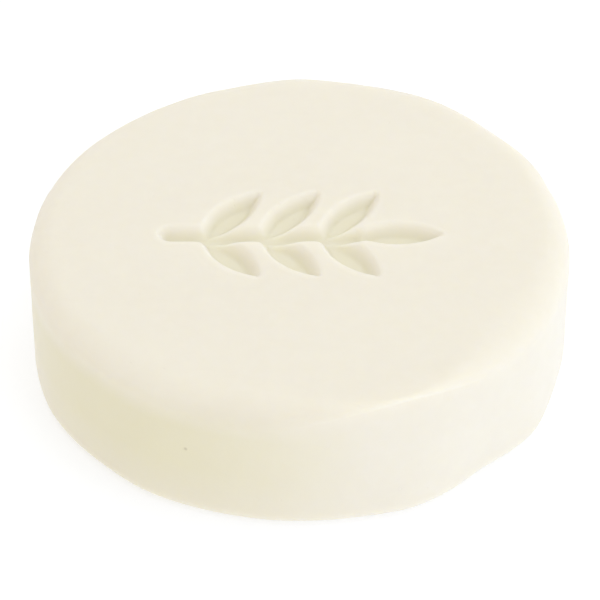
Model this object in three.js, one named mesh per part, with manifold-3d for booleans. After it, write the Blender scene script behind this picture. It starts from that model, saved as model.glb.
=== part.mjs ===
// A bare puck of hard shaving soap: one cake, pressed in a round mould and stamped on top.
// Millimetres, +Z up. The origin is the centre of the bottom face, +X points along the stamped
// sprig to its tip, and +Y across it. Angles are in degrees, anticlockwise from +X seen from above.
import * as THREE from "three";
import { mergeVertices } from "three/addons/utils/BufferGeometryUtils.js";
import Module from "manifold-3d";

// The cake, before wear
const RADIUS = 36.5; // of the side, at half height
const HEIGHT = 20;
const TAPER = 0.1; // the side leans out by this at the top and in at the foot, to leave the mould
const SHOULDER_IN = 3.6; // how far in the round edge of the top reaches
const SHOULDER_DOWN = 3; // and how far down
const FOOT_RADIUS = 1.8; // round edge of the bottom

// Handling has pushed the cake a little out of round. Each place moves the surface out, or in where
// push is negative, and fades out over spread degrees each way.
const SIDE_WEAR = [
  { at: 28, spread: 10, push: 0.35 },
  { at: 59, spread: 13, push: 0.6 },
  { at: 90, spread: 8, push: 0.4 },
  { at: 106, spread: 9, push: -0.25 },
  { at: 130, spread: 13, push: -0.4 },
  { at: 206, spread: 16, push: 0.5 },
  { at: 236, spread: 10, push: 0.35 },
];
// Knocks on the foot's edge, which fade out towards the top.
const FOOT_WEAR = [
  { at: 294, spread: 8, push: 0.5 },
  { at: 313, spread: 7, push: -0.65 },
  { at: 329, spread: 6, push: 0.4 },
  { at: 346, spread: 8, push: -0.3 },
];
// Where the shoulder is rubbed wider or deeper, or has stayed sharp.
const SHOULDER_IN_WEAR = [
  { at: 235, spread: 30, push: 1.8 },
  { at: 292, spread: 15, push: -3 },
  { at: 330, spread: 18, push: 2.2 },
];
const SHOULDER_DOWN_WEAR = [
  { at: 254, spread: 13, push: 2 },
  { at: 292, spread: 18, push: -2.6 },
];

// The stamped sprig: a straight stem with pairs of leaves and one leaf at its tip
const STAMP_DEPTH = 1.4;
const STEM_START = -17.5;
const STEM_LENGTH = 25;
const STEM_WIDTH = 2.2;
const LEAF_LENGTH = 11;
const LEAF_WIDTH = 3.6;
const LEAF_SLANT = 50; // between a leaf and the stem
const LEAF_PAIRS = 3;
const FIRST_PAIR = 4.5; // from the stem's start
const PAIR_SPACING = 8;

// Fineness of the faceted surfaces
const MERIDIANS = 120;
const EDGE_STEPS = 6;
const ARC_STEPS = 8;
const CUT_CLEARANCE = 1; // how far the cutter stands above the top

const { degToRad, euclideanModulo } = THREE.MathUtils;

// The summed effect of a list of worn places at one angle.
function wear(places, angle) {
  return places.reduce((sum, { at, spread, push }) => {
    const away = euclideanModulo(angle - at + 180, 360) - 180;
    return sum + push * Math.exp(-((away / spread) ** 2));
  }, 0);
}

// Half of the cake's section at one angle: from the middle of the bottom out round the foot, up the
// side, and in over the shoulder to the middle of the top.
function sectionAt(angle) {
  const side = wear(SIDE_WEAR, angle);
  const foot = wear(FOOT_WEAR, angle);
  const shoulderIn = SHOULDER_IN + wear(SHOULDER_IN_WEAR, angle);
  const shoulderDown = SHOULDER_DOWN + wear(SHOULDER_DOWN_WEAR, angle);
  const sideAt = (z) => {
    const up = z / HEIGHT;
    return RADIUS + TAPER * (2 * up - 1) + side + foot * (1 - up);
  };
  const points = [new THREE.Vector2(0, 0)];
  for (let step = 0; step <= EDGE_STEPS; step++) {
    const turn = (Math.PI / 2) * (step / EDGE_STEPS);
    const z = FOOT_RADIUS * (1 - Math.cos(turn));
    points.push(new THREE.Vector2(sideAt(z) - FOOT_RADIUS * (1 - Math.sin(turn)), z));
  }
  for (let step = 0; step <= EDGE_STEPS; step++) {
    const turn = (Math.PI / 2) * (step / EDGE_STEPS);
    const z = HEIGHT - shoulderDown * (1 - Math.sin(turn));
    points.push(new THREE.Vector2(sideAt(z) - shoulderIn * (1 - Math.cos(turn)), z));
  }
  points.push(new THREE.Vector2(0, HEIGHT));
  return points;
}

// The unstamped cake: a lathe, whose every meridian is redrawn as the worn section at its angle.
function cakeGeometry() {
  const lathe = new THREE.LatheGeometry(sectionAt(0), MERIDIANS);
  lathe.rotateX(Math.PI / 2);
  const firstAngle = -90; // where a lathe turned upright starts
  for (let meridian = 0; meridian <= MERIDIANS; meridian++) {
    const angle = firstAngle + (360 * meridian) / MERIDIANS;
    const [cos, sin] = [Math.cos(degToRad(angle)), Math.sin(degToRad(angle))];
    const section = sectionAt(angle);
    section.forEach(({ x: out, y: up }, row) => {
      lathe.attributes.position.setXYZ(meridian * section.length + row, out * cos, out * sin, up);
    });
  }
  return lathe;
}

// A round-ended bar along +X from the origin.
function stemOutline() {
  const half = STEM_WIDTH / 2;
  const outline = new THREE.Shape();
  outline.absarc(STEM_LENGTH, 0, half, -Math.PI / 2, Math.PI / 2);
  outline.absarc(0, 0, half, Math.PI / 2, (3 * Math.PI) / 2);
  return outline;
}

// A leaf along +X from the origin, between two equal arcs that meet in a point at each end.
function leafOutline() {
  const [halfLength, halfWidth] = [LEAF_LENGTH / 2, LEAF_WIDTH / 2];
  const radius = (halfLength ** 2 + halfWidth ** 2) / (2 * halfWidth);
  const reach = Math.asin(halfLength / radius); // half the angle that each arc turns
  const outline = new THREE.Shape();
  const [up, down] = [Math.PI / 2, -Math.PI / 2];
  outline.absarc(halfLength, radius - halfWidth, radius, down - reach, down + reach);
  outline.absarc(halfLength, halfWidth - radius, radius, up - reach, up + reach);
  return outline;
}

// An outline laid on the top face and made into a solid that reaches down to the stamp's floor.
function cutter(outline, x, slant) {
  const depth = STAMP_DEPTH + CUT_CLEARANCE;
  return new THREE.ExtrudeGeometry(outline, { depth, bevelEnabled: false, curveSegments: ARC_STEPS })
    .rotateZ(degToRad(slant))
    .translate(x, 0, HEIGHT - STAMP_DEPTH);
}

function sprigCutters() {
  const cutters = [cutter(stemOutline(), STEM_START, 0)];
  for (let pair = 0; pair < LEAF_PAIRS; pair++) {
    const x = STEM_START + FIRST_PAIR + pair * PAIR_SPACING;
    cutters.push(cutter(leafOutline(), x, LEAF_SLANT));
    cutters.push(cutter(leafOutline(), x, -LEAF_SLANT));
  }
  cutters.push(cutter(leafOutline(), STEM_START + STEM_LENGTH, 0));
  return cutters;
}

const wasm = await Module();
wasm.setup();

function toSolid(geometry) {
  const bare = geometry.clone().deleteAttribute("normal").deleteAttribute("uv");
  const merged = mergeVertices(bare);
  return new wasm.Manifold(
    new wasm.Mesh({
      numProp: 3,
      vertProperties: merged.attributes.position.array,
      triVerts: new Uint32Array(merged.index.array),
    }),
  );
}

function toGeometry(solid) {
  const { vertProperties, triVerts } = solid.getMesh();
  const geometry = new THREE.BufferGeometry();
  geometry.setAttribute("position", new THREE.BufferAttribute(vertProperties, 3));
  geometry.setIndex(new THREE.BufferAttribute(triVerts, 1));
  geometry.computeVertexNormals();
  return geometry;
}

const soap = new THREE.MeshStandardMaterial({ color: 0xf1ebdb, roughness: 0.5, metalness: 0 });

const stamp = sprigCutters()
  .map(toSolid)
  .reduce((joined, next) => joined.add(next));
const puck = new THREE.Mesh(toGeometry(toSolid(cakeGeometry()).subtract(stamp)), soap);
puck.name = "soap_puck";

const shavingSoap = new THREE.Group();
shavingSoap.add(puck);

export default shavingSoap;
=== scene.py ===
"""A puck of hard shaving soap on a pale studio floor, in metres.

One piece, soap_cake, stands for the CAD node soap_puck. It has the CAD's outline and sizes, with the
soft edges and the small marks of a stamped and handled bar. Angles are in degrees, anticlockwise from
+X seen from above.
"""

import math

import bpy
import numpy as np
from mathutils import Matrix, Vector


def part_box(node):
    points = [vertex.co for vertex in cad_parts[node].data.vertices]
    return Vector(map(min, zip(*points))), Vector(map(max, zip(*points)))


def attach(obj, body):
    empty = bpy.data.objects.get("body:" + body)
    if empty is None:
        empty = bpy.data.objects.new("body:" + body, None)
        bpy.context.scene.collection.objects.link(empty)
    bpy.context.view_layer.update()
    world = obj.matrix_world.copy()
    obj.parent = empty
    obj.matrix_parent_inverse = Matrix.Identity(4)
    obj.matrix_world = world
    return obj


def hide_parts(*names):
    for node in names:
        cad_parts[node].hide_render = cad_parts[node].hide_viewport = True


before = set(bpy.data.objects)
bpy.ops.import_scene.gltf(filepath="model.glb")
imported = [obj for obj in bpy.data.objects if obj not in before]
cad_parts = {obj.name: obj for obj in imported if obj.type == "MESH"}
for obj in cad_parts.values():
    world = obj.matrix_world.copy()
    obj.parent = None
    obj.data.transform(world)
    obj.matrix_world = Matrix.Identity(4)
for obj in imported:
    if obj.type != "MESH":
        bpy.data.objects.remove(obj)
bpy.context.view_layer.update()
cake_low, cake_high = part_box("soap_puck")

MM = 0.001

# The cake, as in the CAD
HEIGHT = cake_high.z - cake_low.z
RADIUS = 36.5 * MM  # of the side, at half height
TAPER = 0.1 * MM  # out at the top and in at the foot
SHOULDER_IN = 3.6 * MM  # how far in the round edge of the top reaches
SHOULDER_DOWN = 3.0 * MM  # and how far down
FOOT_RADIUS = 1.8 * MM
# Worn places: angle, how far each fades out in degrees, and how far it moves the surface
SIDE_WEAR = [
    (28, 10, 0.35 * MM),
    (59, 13, 0.6 * MM),
    (90, 8, 0.4 * MM),
    (106, 9, -0.25 * MM),
    (130, 13, -0.4 * MM),
    (206, 16, 0.5 * MM),
    (236, 10, 0.35 * MM),
]
FOOT_WEAR = [
    (294, 8, 0.5 * MM),
    (313, 7, -0.65 * MM),
    (329, 6, 0.4 * MM),
    (346, 8, -0.3 * MM),
]
SHOULDER_IN_WEAR = [(235, 30, 1.8 * MM), (292, 15, -3.0 * MM), (330, 18, 2.2 * MM)]
SHOULDER_DOWN_WEAR = [(254, 13, 2.0 * MM), (292, 18, -2.6 * MM)]

# The stamped sprig, as in the CAD
STAMP_DEPTH = 1.4 * MM
STEM_START = -17.5 * MM
STEM_LENGTH = 25 * MM
STEM_WIDTH = 2.2 * MM
LEAF_LENGTH = 11 * MM
LEAF_WIDTH = 3.6 * MM
LEAF_SLANT = 50
LEAF_PAIRS = 3
FIRST_PAIR = 4.5 * MM
PAIR_SPACING = 8 * MM

# What pressing does to the soap round the sprig
STAMP_MELT = 0.35 * MM  # how round the corners are where the stem and leaves meet
WALL_WIDTH = 1.7 * MM  # of the sloping wall, seen from above, half of it each side of the outline
WALL_SLUMP = 0.45  # the share by which a wall is wider where the stamp slid, and narrower opposite
SLUMP_TOWARDS = 55  # degrees
LIP_HEIGHT = 0.05 * MM
LIP_WIDTH = 0.45 * MM
LIP_DISTANCE = 1.1 * MM  # from the outline to the lip's crest
PRESSED_FLAT = (24 * MM, 32 * MM)  # the face is sunk by a lip's height inside the first radius

# Small unevenness, all of it inwards: the size of the lumps across, how deep they are, and a seed
FACE_LUMPS = [(30 * MM, 0.10 * MM, 3), (7 * MM, 0.02 * MM, 5), (2.6 * MM, 0.006 * MM, 8)]
EDGE_LUMPS = [(9 * MM, 0.07 * MM, 13), (3.4 * MM, 0.022 * MM, 17)]
EDGE_ZONE = (RADIUS - 9 * MM, RADIUS - 3 * MM)  # the radii where the edge's lumps start and are whole
# Knocks: angle, height, how wide and how deep
KNOCKS = [
    (199, 16.4 * MM, 1.5 * MM, 0.10 * MM),
    (214, 17.5 * MM, 0.8 * MM, 0.12 * MM),
    (222, 16.6 * MM, 1.2 * MM, 0.10 * MM),
    (231, 18.2 * MM, 0.9 * MM, 0.07 * MM),
    (243, 16.2 * MM, 2.2 * MM, 0.12 * MM),
    (262, 17.8 * MM, 1.1 * MM, 0.07 * MM),
    (318, 18.9 * MM, 1.3 * MM, 0.09 * MM),
    (20, 18.2 * MM, 1.6 * MM, 0.10 * MM),
    (75, 18.6 * MM, 1.2 * MM, 0.09 * MM),
    (121, 17.9 * MM, 1.7 * MM, 0.11 * MM),
    (160, 18.8 * MM, 1.0 * MM, 0.08 * MM),
]
# The thin ridge that the mould left on the sharp stretch of the shoulder
RIDGE_AT = 291
RIDGE_SPREAD = 9
RIDGE_HEIGHT = 0.018 * MM
RIDGE_WIDTH = 0.3 * MM
RIDGE_SIDES = 5 * MM  # how far to each side of the crest the hollow beside it reaches

# The mesh: a fine square-celled patch under the stamp, top and bottom, and rings from one to the other
PATCH_HALF_X = 20.6 * MM
PATCH_HALF_Y = 11 * MM
CELL = 0.2 * MM
TOP_RINGS = 24
SHOULDER_RINGS = 16
SIDE_RINGS = 18
FOOT_RINGS = 8
BOTTOM_RINGS = 8
FLAT_TOLERANCE = 0.001 * MM  # a vertex this close to the top's height is on the flat face


# ---------------------------------------------------------------------------- shape


def wear(places, angle):
    """The summed effect of a list of worn places, at each angle."""
    total = np.zeros_like(angle)
    for at, spread, push in places:
        away = (angle - at + 180) % 360 - 180
        total += push * np.exp(-((away / spread) ** 2))
    return total


def side_radius(angle, z):
    """How far out the worn side stands, at each angle and height."""
    up = z / HEIGHT
    return (
        RADIUS
        + TAPER * (2 * up - 1)
        + wear(SIDE_WEAR, angle)
        + wear(FOOT_WEAR, angle) * (1 - up)
    )


def ring(angle, out, z):
    """Points at radius out and height z, one for each angle."""
    turn = np.radians(angle)
    return np.stack([out * np.cos(turn), out * np.sin(turn), z + 0 * turn], axis=1)


def side_point(angle, z):
    """The point on the side at one angle and height."""
    angle = np.array([float(angle)])
    return ring(angle, side_radius(angle, z), z)[0]


def outside_rings(angle):
    """The rings from the edge of the flat top, over the shoulder and down the side, to the flat bottom."""
    shoulder_in = SHOULDER_IN + wear(SHOULDER_IN_WEAR, angle)
    shoulder_down = SHOULDER_DOWN + wear(SHOULDER_DOWN_WEAR, angle)
    rings = []
    for turn in np.linspace(math.pi / 2, 0, SHOULDER_RINGS + 1):
        z = HEIGHT - shoulder_down * (1 - math.sin(turn))
        rings.append(ring(angle, side_radius(angle, z) - shoulder_in * (1 - math.cos(turn)), z))
    top_of_side = HEIGHT - shoulder_down
    for down in np.linspace(0, 1, SIDE_RINGS + 1)[1:-1]:
        z = top_of_side + (FOOT_RADIUS - top_of_side) * down
        rings.append(ring(angle, side_radius(angle, z), z))
    for turn in np.linspace(math.pi / 2, 0, FOOT_RINGS + 1):
        z = FOOT_RADIUS * (1 - math.cos(turn))
        rings.append(ring(angle, side_radius(angle, z) - FOOT_RADIUS * (1 - math.sin(turn)), z))
    return rings


def patch_rim_ids(ids):
    """The ids round a patch's rim, anticlockwise from the middle of its +X side."""
    right = ids[-1, :-1]
    back = ids[:0:-1, -1]
    left = ids[0, :0:-1]
    front = ids[:-1, 0]
    rim = np.concatenate([right, back, left, front])
    return np.roll(rim, -(len(right) // 2))


def patch_quads(ids):
    """A patch's cells, as quads that face up."""
    return np.stack([ids[:-1, :-1], ids[1:, :-1], ids[1:, 1:], ids[:-1, 1:]], axis=-1).reshape(-1, 4)


def cake_mesh_data():
    """Vertices and quads of the whole cake, before the stamp and the small relief."""
    cells_x = round(2 * PATCH_HALF_X / CELL)
    cells_y = round(2 * PATCH_HALF_Y / CELL)
    x = np.linspace(-PATCH_HALF_X, PATCH_HALF_X, cells_x + 1)
    y = np.linspace(-PATCH_HALF_Y, PATCH_HALF_Y, cells_y + 1)
    patch = np.stack(np.meshgrid(x, y, indexing="ij"), axis=-1).reshape(-1, 2)
    ids = np.arange(len(patch)).reshape(cells_x + 1, cells_y + 1)
    top_rim = patch_rim_ids(ids)
    around = len(top_rim)
    angle = 360 * np.arange(around) / around

    outside = outside_rings(angle)
    rim = np.column_stack([patch[top_rim], np.zeros(around)])
    lift = np.array([0, 0, HEIGHT])
    rings = [
        rim + lift + (outside[0] - rim - lift) * share
        for share in np.linspace(0, 1, TOP_RINGS + 1)[1:-1]
    ]
    rings += outside
    rings += [
        outside[-1] + (rim - outside[-1]) * share
        for share in np.linspace(0, 1, BOTTOM_RINGS + 1)[1:-1]
    ]

    top_patch = np.column_stack([patch, np.full(len(patch), HEIGHT)])
    bottom_patch = np.column_stack([patch, np.zeros(len(patch))])
    vertices = np.concatenate([top_patch, *rings, bottom_patch])

    ring_ids = [len(patch) + around * i + np.arange(around) for i in range(len(rings))]
    bottom_ids = ids + len(vertices) - len(patch)
    loops = [top_rim, *ring_ids, patch_rim_ids(bottom_ids)]
    faces = [patch_quads(ids), patch_quads(bottom_ids)[:, ::-1]]
    for upper, lower in zip(loops, loops[1:]):
        faces.append(np.stack([upper, lower, np.roll(lower, -1), np.roll(upper, -1)], axis=1))
    return vertices, np.concatenate(faces)


# ---------------------------------------------------------------------------- stamp


def smooth_step(low, high, value):
    """0 up to low, 1 from high on, and a smooth rise between them."""
    share = np.clip((value - low) / (high - low), 0, 1)
    return share * share * (3 - 2 * share)


def bar_distance(x, y):
    """Signed distance to the stem, a round-ended bar along +X."""
    along = np.clip(x, STEM_START, STEM_START + STEM_LENGTH)
    return np.hypot(x - along, y) - STEM_WIDTH / 2


def leaf_distance(x, y, base_x, slant):
    """Signed distance to a leaf between two equal arcs, whose base is on the stem at base_x."""
    half_length, half_width = LEAF_LENGTH / 2, LEAF_WIDTH / 2
    offset = (half_length**2 - half_width**2) / (2 * half_width)  # of each arc's centre from the midrib
    turn = math.radians(slant)
    along = (x - base_x) * math.cos(turn) + y * math.sin(turn) - half_length
    across = y * math.cos(turn) - (x - base_x) * math.sin(turn)
    along, across = abs(along), abs(across)
    past_tip = (along - half_length) * offset > across * half_length
    to_tip = np.hypot(across, along - half_length)
    to_arc = np.hypot(across + offset, along) - (half_width + offset)
    return np.where(past_tip, to_tip, to_arc)


def sprig_distance(x, y):
    """Signed distance to the whole sprig, below zero inside, with its inner corners melted round."""
    parts = [bar_distance(x, y)]
    for pair in range(LEAF_PAIRS):
        base_x = STEM_START + FIRST_PAIR + pair * PAIR_SPACING
        parts.append(leaf_distance(x, y, base_x, LEAF_SLANT))
        parts.append(leaf_distance(x, y, base_x, -LEAF_SLANT))
    parts.append(leaf_distance(x, y, STEM_START + STEM_LENGTH, 0))
    return -STAMP_MELT * np.log(sum(np.exp(-part / STAMP_MELT) for part in parts))


def stamp_fields(x, y):
    """How deep the stamp is at each place, from 0 to 1, and how much of a lip stands there."""
    distance = sprig_distance(x, y)
    turn = math.radians(SLUMP_TOWARDS)
    farther = sprig_distance(x + CELL * math.cos(turn), y + CELL * math.sin(turn))
    facing = np.clip((farther - distance) / CELL, -1, 1)
    wall = WALL_WIDTH * (1 + WALL_SLUMP * facing)
    pressed = 1 - smooth_step(-0.5, 0.5, distance / wall)
    lip = np.exp(-(((distance - LIP_DISTANCE) / LIP_WIDTH) ** 2)) * (1 - facing) / 2
    return pressed, lip


# ---------------------------------------------------------------------------- small relief


def lumps(places, size, seed, waves=24):
    """Smooth noise from 0 to 1: a sum of plane waves whose crests are size apart."""
    random = np.random.default_rng(seed)
    directions = random.normal(size=(waves, 3))
    directions /= np.linalg.norm(directions, axis=1, keepdims=True)
    phases = random.uniform(0, 2 * math.pi, waves)
    total = np.sin(places @ directions.T * (2 * math.pi / size) + phases).sum(axis=1)
    return 0.5 + 0.5 * np.tanh(total / math.sqrt(waves))


def ridge_hollow(angle, radius, z):
    """How far the surface lies below the ridge's crest, either side of it on the sharp shoulder."""
    crest = side_radius(angle, z) - SHOULDER_IN - wear(SHOULDER_IN_WEAR, angle)
    beside = 1 - np.exp(-(((radius - crest) / RIDGE_WIDTH) ** 2))
    near = smooth_step(RIDGE_SIDES, 0, abs(radius - crest))
    return beside * near * wear([(RIDGE_AT, RIDGE_SPREAD, RIDGE_HEIGHT)], angle)


def small_relief(vertices):
    """How far the surface is worn in at each vertex. The bottom stays flat."""
    x, y, z = vertices.T
    radius = np.hypot(x, y)
    angle = np.degrees(np.arctan2(y, x)) % 360
    depth = sum(deep * lumps(vertices, size, seed) for size, deep, seed in FACE_LUMPS)
    edge = smooth_step(*EDGE_ZONE, radius)
    depth += edge * sum(deep * lumps(vertices, size, seed) for size, deep, seed in EDGE_LUMPS)
    for at, height, wide, deep in KNOCKS:
        away = np.linalg.norm(vertices - side_point(at, height), axis=1)
        depth += deep * np.exp(-((away / wide) ** 2))
    depth += ridge_hollow(angle, radius, z)
    return depth * smooth_step(0, FOOT_RADIUS, z)


# ---------------------------------------------------------------------------- pieces


def make_cake():
    """The cake as one closed mesh, whose attribute "pressed" says how deep in the stamp a vertex lies."""
    vertices, faces = cake_mesh_data()
    mesh = bpy.data.meshes.new("soap_cake")
    mesh.from_pydata(vertices.tolist(), [], faces.tolist())
    normals = np.array([normal.vector[:] for normal in mesh.vertex_normals])

    x, y, z = vertices.T
    flat_top = z > HEIGHT - FLAT_TOLERANCE
    pressed, lip = stamp_fields(x, y)
    pressed = np.where(flat_top, pressed, 0)
    lip = np.where(flat_top, lip, 0)
    sunk = 1 - smooth_step(*PRESSED_FLAT, np.hypot(x, y))
    inwards = small_relief(vertices) + np.where(flat_top, LIP_HEIGHT * (sunk - lip), 0)
    vertices = vertices - normals * inwards[:, None]
    vertices[:, 2] -= STAMP_DEPTH * pressed
    mesh.vertices.foreach_set("co", vertices.astype(np.float32).ravel())
    mesh.polygons.foreach_set("use_smooth", np.ones(len(mesh.polygons), bool))
    mesh.attributes.new("pressed", "FLOAT", "POINT").data.foreach_set("value", pressed.astype(np.float32))
    mesh.validate()
    mesh.update()

    cake = bpy.data.objects.new("soap_cake", mesh)
    bpy.context.scene.collection.objects.link(cake)
    return cake


# ---------------------------------------------------------------------------- materials

CREAM = (0.876, 0.828, 0.718, 1)
CREAM_DEEP = (0.87, 0.821, 0.71, 1)
CREAM_PALE = (0.886, 0.839, 0.731, 1)
# painted shade in the stamp's recess, deepest on its floor
CREAM_RECESS_SHADE = (0.825, 0.782, 0.618, 1)
CREAM_SIDE_SHADE = (0.827, 0.783, 0.59, 1)  # painted shade: where the side is darkest, on the stretch turned from the lights
RECESS_SHADE_FROM = (0.3, 0.9)  # how far down the stamp's wall the painted recess shade starts, and is whole

# Cloudy mottling: the size of the lumps, and the noise between which the colours change over
CLOUD_SIZE = 16 * MM
CLOUD_NOISE = (0.35, 0.65)
MOTTLE_SIZE = 2.2 * MM
MOTTLE_NOISE = (0.4, 0.75)
MOTTLE_SHARE = 0.7  # of the pale colour, at most

# The stretch of the side with painted shade, darkest in its middle
SIDE_SHADE_AT = 228
SIDE_SHADE_FACING = (0.55, 1)  # the cosines of the turn away from its middle where it starts, and is whole
SIDE_SHADE_BELOW_TOP = (1.5 * MM, 5.5 * MM)  # how far down it starts, and is whole
SIDE_SHADE_FOOT = 8 * MM  # below this height it fades again
SIDE_SHADE_FOOT_SHARE = 0.3  # what is left of it at the foot

SPECK_COLOUR = (0.3, 0.24, 0.16, 1)
SPECK_SHARE = 0.5  # of its colour, in its middle
SPECK_AT = side_point(246, 11 * MM)
SPECK_RADIUS = 0.35 * MM

# Satin: the roughness in its smoothest and its roughest patches
ROUGHNESS = (0.46, 0.58)
PATCH_SIZE = 5 * MM
PATCH_NOISE = (0.35, 0.65)
PRESSED_SMOOTHER = 0.08

# Bump: the size of each kind of mark, and how deep it looks
MARK_SIZE = 1.8 * MM
MARK_DEPTH = 0.045 * MM
GRAIN_SIZE = 0.3 * MM
GRAIN_DEPTH = 0.008 * MM
PIT_SPACING = 3.5 * MM
PIT_EDGE = (0.02, 0.06)  # shares of the spacing, from a pit's middle to its floor's edge and its rim
PIT_DEPTH = 0.03 * MM
SCRATCH_SIZE = 1.2 * MM
SCRATCH_TURN = (0, 0, math.radians(25))
SCRATCH_STRETCH = (0.1, 4, 1)
SCRATCH_NOISE = (0.66, 0.7)  # only noise above this is a scratch
SCRATCH_DEPTH = 0.008 * MM

# How far light wanders inside the soap, and the share of that for each of red, green and blue
SCATTER_SCALE = 2 * MM
SCATTER_RADIUS = (0.75, 0.75, 0.62)
SPECULAR = 0.15  # a weak gloss


def add_node(tree, kind, inputs, **settings):
    """A new node with its settings, and each input set to a value or linked to another node's output."""
    node = tree.nodes.new(kind)
    for name, value in settings.items():
        setattr(node, name, value)
    for name, value in inputs.items():
        if isinstance(value, bpy.types.NodeSocket):
            tree.links.new(value, node.inputs[name])
        else:
            node.inputs[name].default_value = value
    return node


def noise(tree, place, size, detail):
    """Noise from 0 to 1, mostly between a third and two thirds, whose lumps are about size across, with
    finer lumps added detail times."""
    texture = add_node(tree, "ShaderNodeTexNoise", {"Vector": place, "Scale": 1 / size, "Detail": detail})
    return texture.outputs["Fac"]


def remap(tree, value, from_low, from_high, to_low, to_high):
    limits = {"From Min": from_low, "From Max": from_high, "To Min": to_low, "To Max": to_high}
    return add_node(tree, "ShaderNodeMapRange", {"Value": value, **limits}).outputs["Result"]


def mix_colour(tree, share, first, second):
    return add_node(
        tree, "ShaderNodeMixRGB", {"Fac": share, "Color1": first, "Color2": second}
    ).outputs["Color"]


def multiply(tree, first, second):
    return add_node(tree, "ShaderNodeMath", {0: first, 1: second}, operation="MULTIPLY").outputs[0]


def painted_side_shade_share(tree, place):
    """1 on the middle of the stretch of the side with painted shade, 0 on the top."""
    turn = math.radians(SIDE_SHADE_AT)
    towards = {0: place, 1: (math.cos(turn) / RADIUS, math.sin(turn) / RADIUS, 0)}
    facing = add_node(tree, "ShaderNodeVectorMath", towards, operation="DOT_PRODUCT").outputs["Value"]
    height = add_node(tree, "ShaderNodeSeparateXYZ", {"Vector": place}).outputs["Z"]
    round_the_side = remap(tree, facing, *SIDE_SHADE_FACING, 0, 1)
    start, whole = SIDE_SHADE_BELOW_TOP
    below_top = remap(tree, height, HEIGHT - start, HEIGHT - whole, 0, 1)
    above_foot = remap(tree, height, 0, SIDE_SHADE_FOOT, SIDE_SHADE_FOOT_SHARE, 1)
    return multiply(tree, multiply(tree, round_the_side, below_top), above_foot)


def soap_colour(tree, place, pressed):
    """Cream with faint cloudy mottling, painted shade on one stretch of the side and in the stamp's
    recess, and one dark speck.
    """
    clouds = remap(tree, noise(tree, place, CLOUD_SIZE, 2), *CLOUD_NOISE, 0, 1)
    mottle = remap(tree, noise(tree, place, MOTTLE_SIZE, 3), *MOTTLE_NOISE, 0, MOTTLE_SHARE)
    colour = mix_colour(tree, clouds, CREAM_DEEP, CREAM)
    colour = mix_colour(tree, mottle, colour, CREAM_PALE)
    # painted shade on the stretch of the side turned from the lights
    colour = mix_colour(tree, painted_side_shade_share(tree, place), colour, CREAM_SIDE_SHADE)
    # painted shade in the stamp's recess, deepest on its floor
    stamped = remap(tree, pressed, *RECESS_SHADE_FROM, 0, 1)
    colour = mix_colour(tree, stamped, colour, CREAM_RECESS_SHADE)
    from_speck = add_node(tree, "ShaderNodeVectorMath", {0: place, 1: SPECK_AT}, operation="DISTANCE")
    speck = remap(tree, from_speck.outputs["Value"], SPECK_RADIUS, 0, 0, SPECK_SHARE)
    return mix_colour(tree, speck, colour, SPECK_COLOUR)


def soap_roughness(tree, place, pressed):
    """Satin, in patches, and smoother where the stamp pressed it."""
    patches = remap(tree, noise(tree, place, PATCH_SIZE, 3), *PATCH_NOISE, *ROUGHNESS)
    smoothed = remap(tree, pressed, 0, 1, 0, PRESSED_SMOOTHER)
    return add_node(tree, "ShaderNodeMath", {0: patches, 1: smoothed}, operation="SUBTRACT").outputs[0]


def soap_bump(tree, place):
    """Handling marks, a fine grain, small pits from air and a few hairline scratches."""
    marks = noise(tree, place, MARK_SIZE, 3)
    grain = noise(tree, place, GRAIN_SIZE, 4)
    cells = add_node(tree, "ShaderNodeTexVoronoi", {"Vector": place, "Scale": 1 / PIT_SPACING})
    pits = remap(tree, cells.outputs["Distance"], *PIT_EDGE, 0, 1)
    stretched = add_node(
        tree, "ShaderNodeMapping", {"Vector": place, "Rotation": SCRATCH_TURN, "Scale": SCRATCH_STRETCH}
    )
    lines = noise(tree, stretched.outputs["Vector"], SCRATCH_SIZE, 2)
    scratches = remap(tree, lines, *SCRATCH_NOISE, 1, 0)
    layers = [(marks, MARK_DEPTH), (grain, GRAIN_DEPTH), (pits, PIT_DEPTH), (scratches, SCRATCH_DEPTH)]
    normal = None
    for height, depth in layers:
        inputs = {"Height": height, "Distance": depth}
        if normal:
            inputs["Normal"] = normal
        normal = add_node(tree, "ShaderNodeBump", inputs).outputs["Normal"]
    return normal


def soap_material():
    material = bpy.data.materials.new("soap")
    material.use_nodes = True
    tree = material.node_tree
    place = add_node(tree, "ShaderNodeTexCoord", {}).outputs["Object"]
    pressed = add_node(tree, "ShaderNodeAttribute", {}, attribute_name="pressed").outputs["Fac"]
    shader = tree.nodes["Principled BSDF"]
    tree.links.new(soap_colour(tree, place, pressed), shader.inputs["Base Color"])
    tree.links.new(soap_roughness(tree, place, pressed), shader.inputs["Roughness"])
    tree.links.new(soap_bump(tree, place), shader.inputs["Normal"])
    shader.inputs["Subsurface Weight"].default_value = 1.0
    shader.inputs["Subsurface Radius"].default_value = SCATTER_RADIUS
    shader.inputs["Subsurface Scale"].default_value = SCATTER_SCALE
    shader.inputs["Specular IOR Level"].default_value = SPECULAR
    return material


def floor_material():
    """White, with a glow of its own that hides most of the shadow and grows away from the cake, where
    the lights don't reach."""
    material = bpy.data.materials.new("studio_floor")
    material.use_nodes = True
    tree = material.node_tree
    shader = tree.nodes["Principled BSDF"]
    place = add_node(tree, "ShaderNodeTexCoord", {}).outputs["Object"]
    away = add_node(tree, "ShaderNodeVectorMath", {0: place}, operation="LENGTH").outputs["Value"]
    glow = remap(tree, away, *LIT_FLOOR, FLOOR_GLOW, FAR_FLOOR_GLOW)
    tree.links.new(glow, shader.inputs["Emission Strength"])
    shader.inputs["Base Color"].default_value = FLOOR_COLOUR
    shader.inputs["Roughness"].default_value = FLOOR_ROUGHNESS
    shader.inputs["Specular IOR Level"].default_value = 0.0
    shader.inputs["Emission Color"].default_value = GLOW_COLOUR
    return material


# ---------------------------------------------------------------------------- studio

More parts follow.
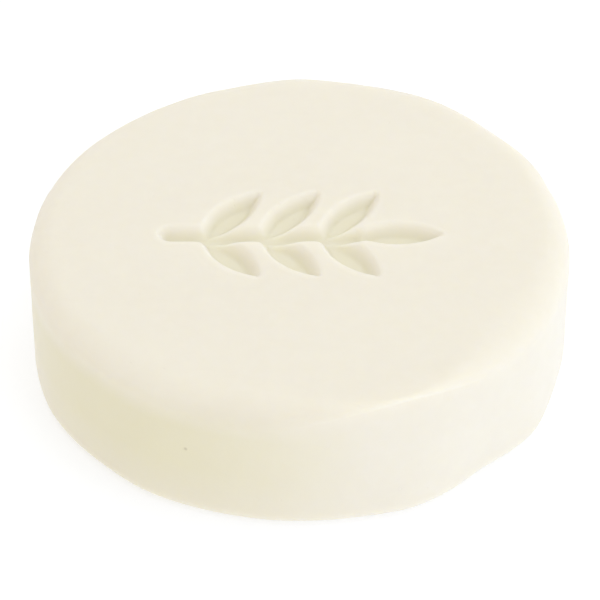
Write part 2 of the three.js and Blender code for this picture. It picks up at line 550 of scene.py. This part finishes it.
CAMERA_ELEVATION = 39.9
CAMERA_DISTANCE = 0.5475
LENS = 241  # mm, on a 36 mm sensor
AIM_BELOW = 1.32 * MM  # the cake's middle sits this far above the picture's, across the view

# The surround's colours, and the sines of the heights where it leaves the one and reaches the other
HORIZON_COLOUR = (1.0, 1.0, 1.0, 1)
ZENITH_COLOUR = (0.717, 0.677, 0.651, 1)
HORIZON_BAND = (0.03, 0.14)

# Square soft lights: azimuth, elevation, distance, size, power in watts, and colour
LIGHTS = {
    "key": (-42, 27, 0.8, 0.7, 1.64, (0.604, 0.758, 1.0)),
    "overhead": (70, 78, 1.4, 1.3, 6.1, (0.865, 0.975, 0.985)),
    "right_fill": (25, 38, 0.3, 0.25, 0.05, (0.9, 0.93, 1.0)),
}

FLOOR_SIZE = 20
FLOOR_GAP = 0.02 * MM  # keeps the floor clear of the cake's flat bottom
FLOOR_COLOUR = (0.6, 0.6, 0.6, 1)
FLOOR_ROUGHNESS = 0.9
GLOW_COLOUR = (0.953, 0.972, 1.0, 1)
FLOOR_GLOW = 0.5
FAR_FLOOR_GLOW = 0.63
LIT_FLOOR = (0.25, 1.2)  # how far from the cake the lights reach: wholly, and at all


def make_camera():
    """A long lens that looks from the front, down at the cake."""
    data = bpy.data.cameras.new("camera")
    data.lens = LENS
    data.clip_start = 0.01
    data.clip_end = 100
    camera = bpy.data.objects.new("camera", data)
    tilt = math.radians(CAMERA_ELEVATION)
    back = Vector((0, -math.cos(tilt), math.sin(tilt)))
    up = Vector((0, math.sin(tilt), math.cos(tilt)))
    middle = Vector((0, 0, HEIGHT / 2))
    camera.location = middle + back * CAMERA_DISTANCE - up * AIM_BELOW
    camera.rotation_euler = (math.pi / 2 - tilt, 0, 0)
    bpy.context.scene.collection.objects.link(camera)
    bpy.context.scene.camera = camera


def make_light(name, azimuth, elevation, distance, size, power, colour):
    """A square soft light that faces the cake."""
    data = bpy.data.lights.new(name, "AREA")
    data.shape = "SQUARE"
    data.size = size
    data.energy = power
    data.color = colour
    light = bpy.data.objects.new(name, data)
    turn, tilt = math.radians(azimuth), math.radians(elevation)
    out = Vector((math.cos(turn) * math.cos(tilt), math.sin(turn) * math.cos(tilt), math.sin(tilt)))
    light.location = out * distance
    light.rotation_euler = out.to_track_quat("Z", "Y").to_euler()
    light.visible_camera = False
    bpy.context.scene.collection.objects.link(light)


def make_world():
    """A plain surround whose light runs smoothly from the horizon's colour to the zenith's."""
    world = bpy.data.worlds.new("studio")
    world.use_nodes = True
    tree = world.node_tree
    direction = add_node(tree, "ShaderNodeTexCoord", {}).outputs["Generated"]
    height = add_node(tree, "ShaderNodeSeparateXYZ", {"Vector": direction}).outputs["Z"]
    rise = remap(tree, height, *HORIZON_BAND, 0, 1)
    colour = mix_colour(tree, rise, HORIZON_COLOUR, ZENITH_COLOUR)
    tree.links.new(colour, tree.nodes["Background"].inputs["Color"])
    bpy.context.scene.world = world


def make_floor():
    half = FLOOR_SIZE / 2
    mesh = bpy.data.meshes.new("floor")
    corners = [(-half, -half, 0), (half, -half, 0), (half, half, 0), (-half, half, 0)]
    mesh.from_pydata(corners, [], [(0, 1, 2, 3)])
    mesh.materials.append(floor_material())
    floor = bpy.data.objects.new("floor", mesh)
    floor.location.z = cake_low.z - FLOOR_GAP
    bpy.context.scene.collection.objects.link(floor)


make_camera()
make_world()
for light_name, light in LIGHTS.items():
    make_light(light_name, *light)
make_floor()
bpy.context.scene.view_settings.view_transform = "Standard"

cake = make_cake()
cake.data.materials.append(soap_material())
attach(cake, "root")
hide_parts("soap_puck")
